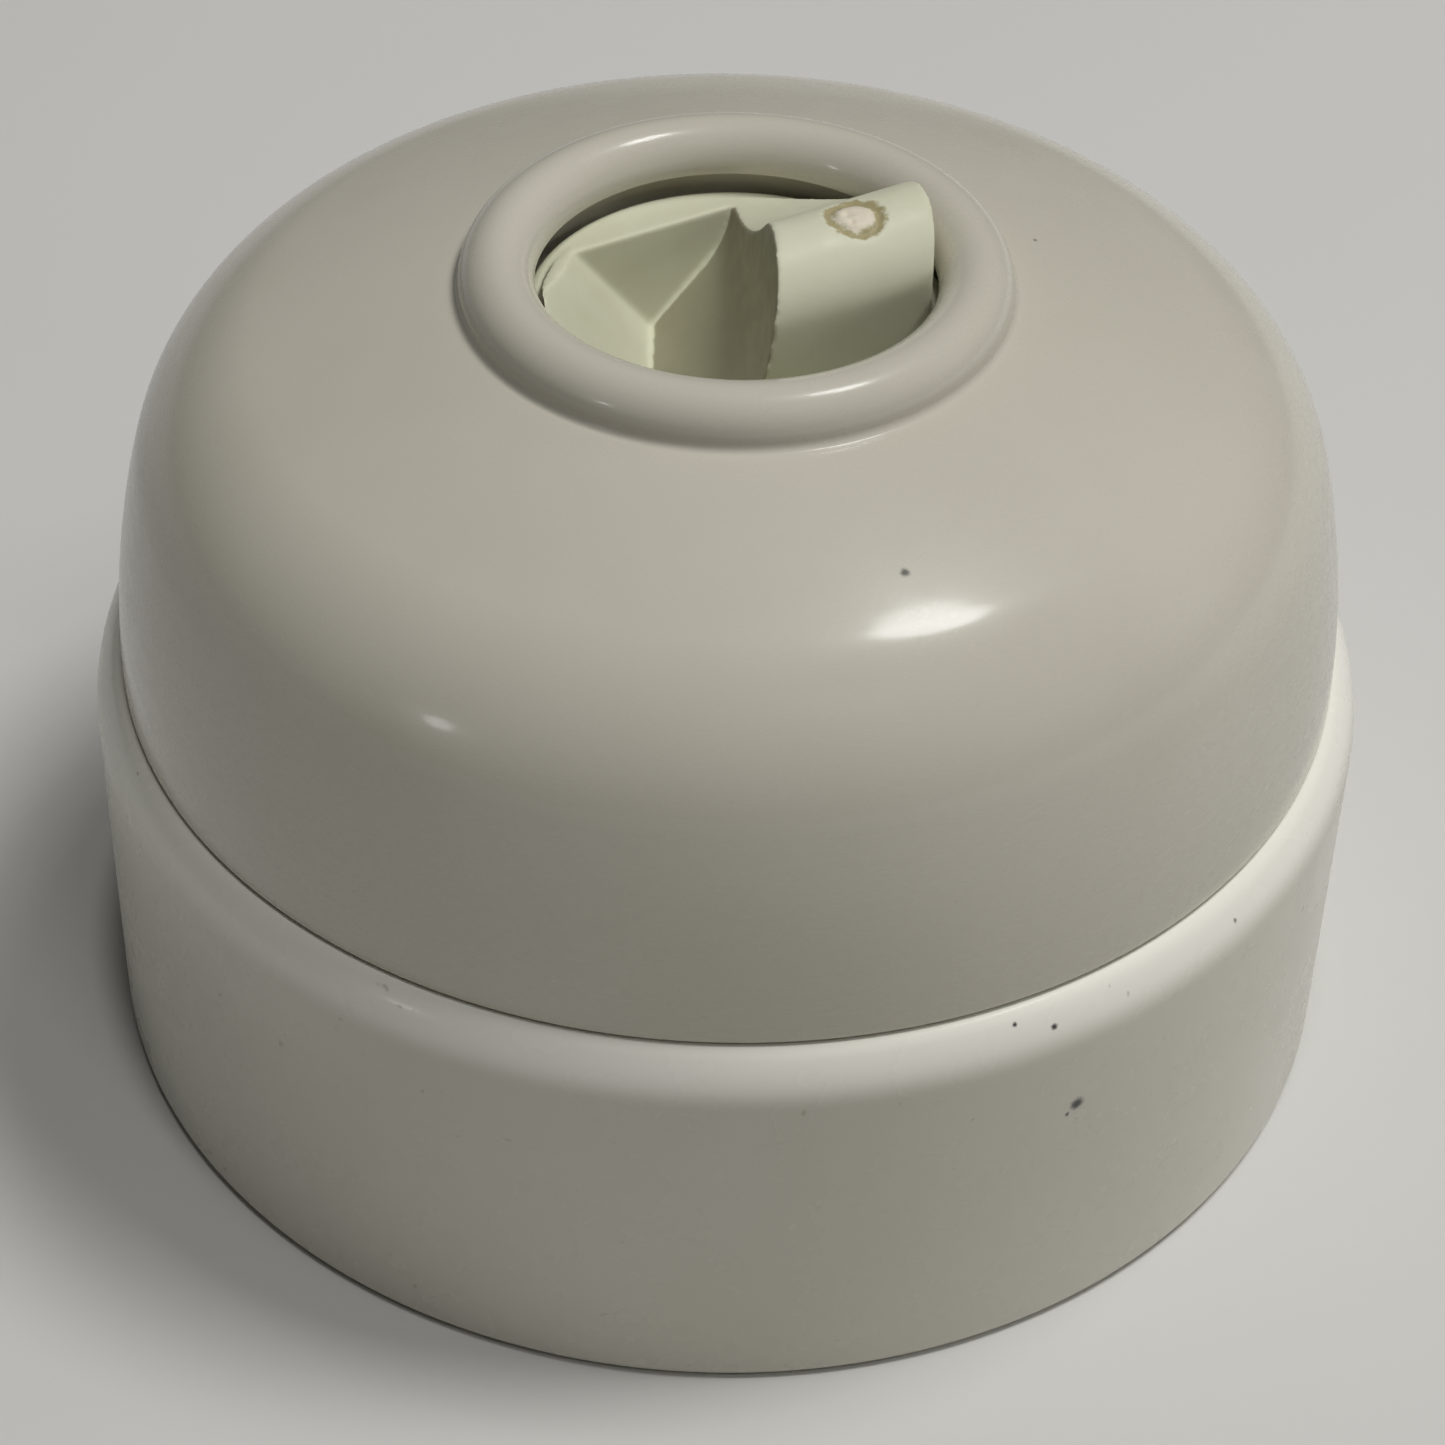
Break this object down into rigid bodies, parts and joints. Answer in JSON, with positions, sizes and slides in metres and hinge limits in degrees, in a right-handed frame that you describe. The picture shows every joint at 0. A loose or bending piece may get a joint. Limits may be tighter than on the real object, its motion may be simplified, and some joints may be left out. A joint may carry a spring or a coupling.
{
  "type": "rotary light switch",
  "caption": "Round surface-mounted rotary light switch: white glazed base, domed white cover with a beaded hole, and a recessed pale knob over a working contact mechanism.",
  "frame": {"origin": "centre of the base's wall face", "axes": "+Z out of the wall along the knob's axis; +X to the right and +Y up the wall as the knob is pictured"},
  "size_m": [0.065, 0.065, 0.046],
  "materials": {
    "porcelain": "glossy glaze",
    "cover_plastic": "glossy, slightly worn",
    "knob_plastic": "satin, aged to a green ivory",
    "steel": "zinc plated",
    "spring_steel": "blued",
    "brass": "turned",
    "bronze": "rolled phosphor bronze",
    "phenolic": "moulded dark brown phenolic"
  },
  "bodies": {
    "base_assembly": {"base": "porcelain", "bridge": "steel", "bearing_bush": "brass", "index_spring_1": "spring_steel", "contact_blade_1": "bronze", "terminal_block_1": "brass", "terminal_screw_1": "brass", "blade_screw_1": "brass", "bridge_screw_1": "steel", "cover_clip_1": "spring_steel", "clip_rivet_1": "steel", "index_spring_2": "spring_steel", "contact_blade_2": "bronze", "terminal_block_2": "brass", "terminal_screw_2": "brass", "blade_screw_2": "brass", "bridge_screw_2": "steel", "cover_clip_2": "spring_steel", "clip_rivet_2": "steel"},
    "turning": {"knob": "knob_plastic", "spindle": "steel", "spindle_clip": "spring_steel", "index_cam": "steel", "rotor": "phenolic", "moving_contact": "bronze"},
    "cover": {"cover": "cover_plastic"}
  },
  "joints": [
    {"name": "knob_turn", "type": "hinge", "parent": "base_assembly", "child": "turning", "pos_m": [0, 0, 0.025], "axis": [0, 0, 1], "continuous": true, "deforming": ["index_spring_1", "index_spring_2"]},
    {"name": "cover_lift", "type": "slide", "parent": "base_assembly", "child": "cover", "axis": [0, 0, 1], "range_m": [0, 0.03]}
  ]
}
